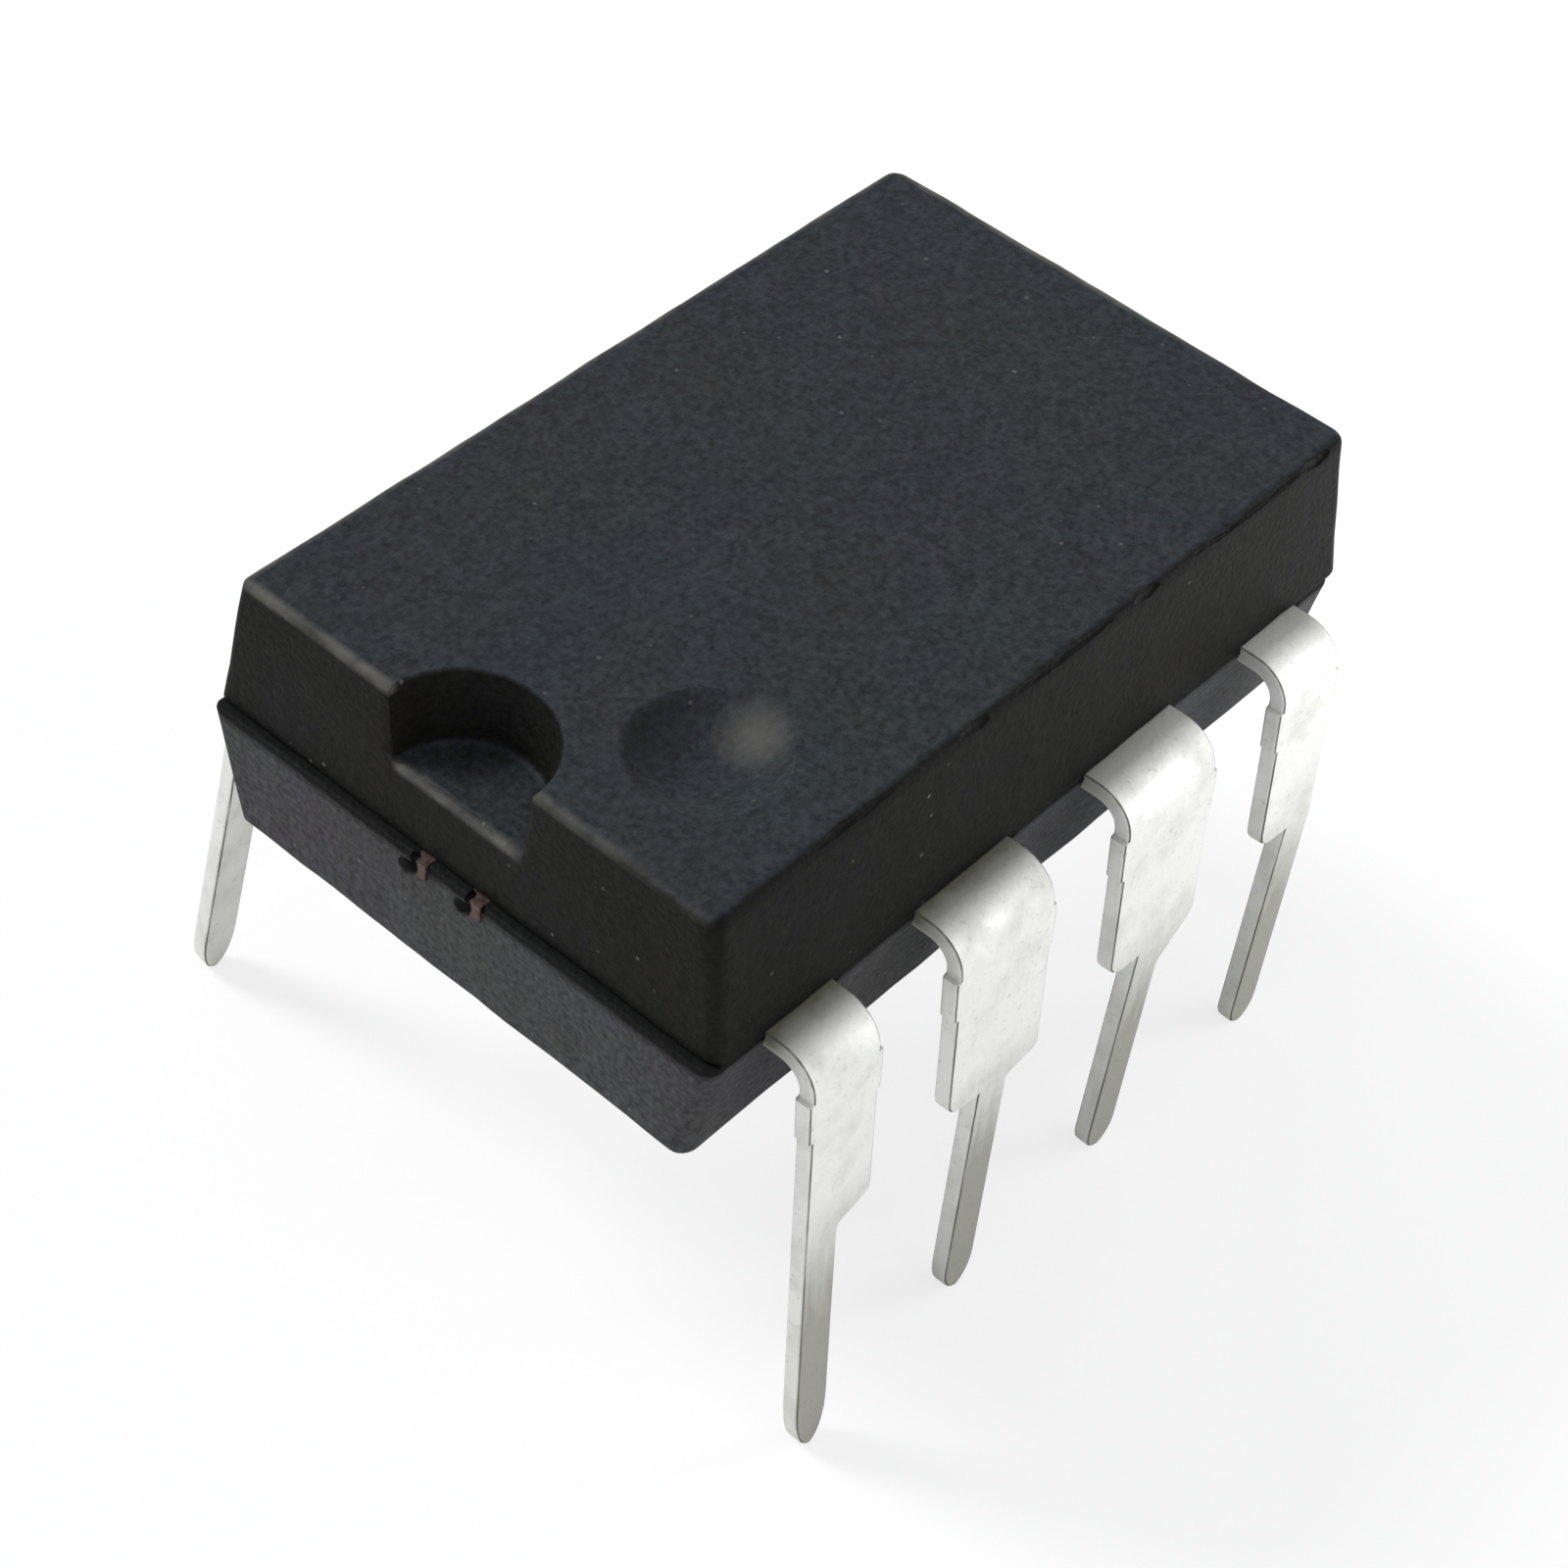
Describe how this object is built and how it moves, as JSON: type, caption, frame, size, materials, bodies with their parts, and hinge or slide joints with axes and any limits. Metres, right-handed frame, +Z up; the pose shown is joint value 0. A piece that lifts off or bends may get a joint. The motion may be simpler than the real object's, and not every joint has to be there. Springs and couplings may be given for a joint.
{
  "type": "dual in-line integrated circuit package",
  "caption": "Moulded through-hole circuit package with two rows of formed flat leads, an end notch and a dished mark beside the first lead.",
  "frame": {"origin": "middle of the lead pattern, in the plane of the lead tips", "axes": "+X along the body away from the notched end, +Y from the row of leads 1 to 4 towards the row of leads 5 to 8, +Z up from the lead tips to the top face"},
  "size_m": [0.0096, 0.0092, 0.0076],
  "materials": {
    "mould_compound": "moulded epoxy, fine matte grain",
    "tin_plate": "matte tin plate over copper alloy",
    "bare_copper": "stamped copper alloy, sheared ends",
    "silver_adhesive": "cured silver-filled adhesive",
    "silicon": "polished silicon",
    "gold_wire": "drawn gold wire"
  },
  "bodies": {
    "root": {"package_body": "mould_compound", "lead_1": "tin_plate", "lead_2": "tin_plate", "lead_3": "tin_plate", "lead_4": "tin_plate", "lead_5": "tin_plate", "lead_6": "tin_plate", "lead_7": "tin_plate", "lead_8": "tin_plate", "die_paddle": "bare_copper", "die_adhesive": "silver_adhesive", "silicon_die": "silicon", "bond_wire_1": "gold_wire", "bond_wire_2": "gold_wire", "bond_wire_3": "gold_wire", "bond_wire_4": "gold_wire", "bond_wire_5": "gold_wire", "bond_wire_6": "gold_wire", "bond_wire_7": "gold_wire", "bond_wire_8": "gold_wire"}
  },
  "joints": []
}
